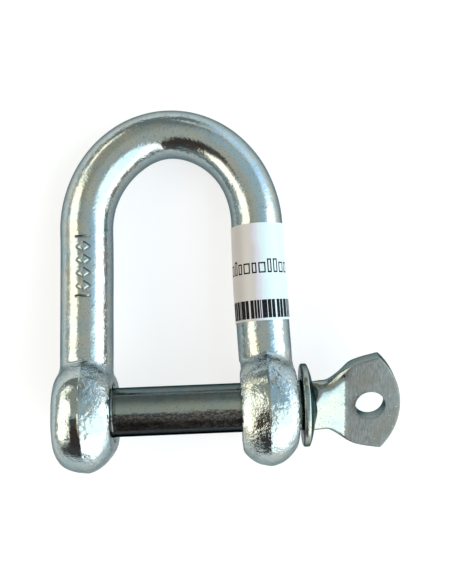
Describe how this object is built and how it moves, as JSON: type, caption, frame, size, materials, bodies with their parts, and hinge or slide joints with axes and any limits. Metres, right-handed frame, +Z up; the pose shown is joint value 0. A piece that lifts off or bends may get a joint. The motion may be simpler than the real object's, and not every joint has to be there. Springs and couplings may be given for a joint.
{
  "type": "chain joining shackle",
  "caption": "D-shaped bar bow with a screw pin that crosses its open end and closes it round a chain link or a rope eye.",
  "frame": {"origin": "under the middle of the shackle's overall box, on the surface it lies on", "axes": "+X along the pin toward its tab, +Y toward the crown of the bow, +Z up out of the surface"},
  "size_m": [0.076, 0.0808, 0.0263],
  "materials": {
    "zinc_plated_steel": "bright zinc plating over forged steel",
    "label_paper": "smooth matt paper"
  },
  "bodies": {
    "bow": {"bow": "zinc_plated_steel", "paper_label": "label_paper"},
    "pin": {"screw_pin": "zinc_plated_steel"}
  },
  "joints": [
    {"name": "pin_withdraw", "type": "slide", "parent": "bow", "child": "pin", "axis": [1, 0, 0], "range_m": [-0.0009, 0.0545]}
  ]
}
